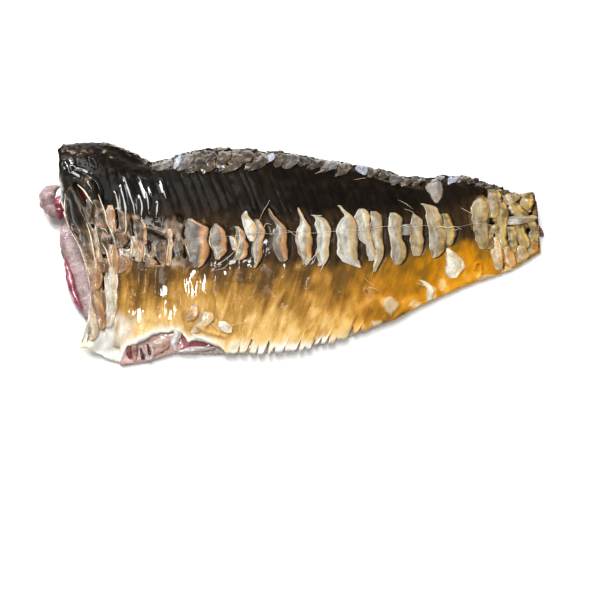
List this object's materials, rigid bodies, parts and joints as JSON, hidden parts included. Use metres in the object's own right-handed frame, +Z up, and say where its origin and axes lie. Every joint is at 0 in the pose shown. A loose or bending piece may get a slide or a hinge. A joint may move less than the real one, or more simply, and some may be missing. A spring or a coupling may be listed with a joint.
{
  "type": "scored carp fillet",
  "caption": "Raw skin-on fish fillet lying flesh side down, scaled, with close parallel knife cuts across its flesh side and a ribbed dark-to-golden skin.",
  "frame": {"origin": "middle of the fillet's box, on the surface it lies on", "axes": "+X from the head end to the tail, +Y from the belly to the back, +Z up out of the skin"},
  "size_m": [0.2598, 0.1308, 0.0211],
  "materials": {
    "skin": "wet, glossy",
    "flesh": "moist, soft sheen",
    "scale_pockets": "wet, thin membrane"
  },
  "bodies": {
    "root": {"fillet": "skin"}
  },
  "joints": []
}
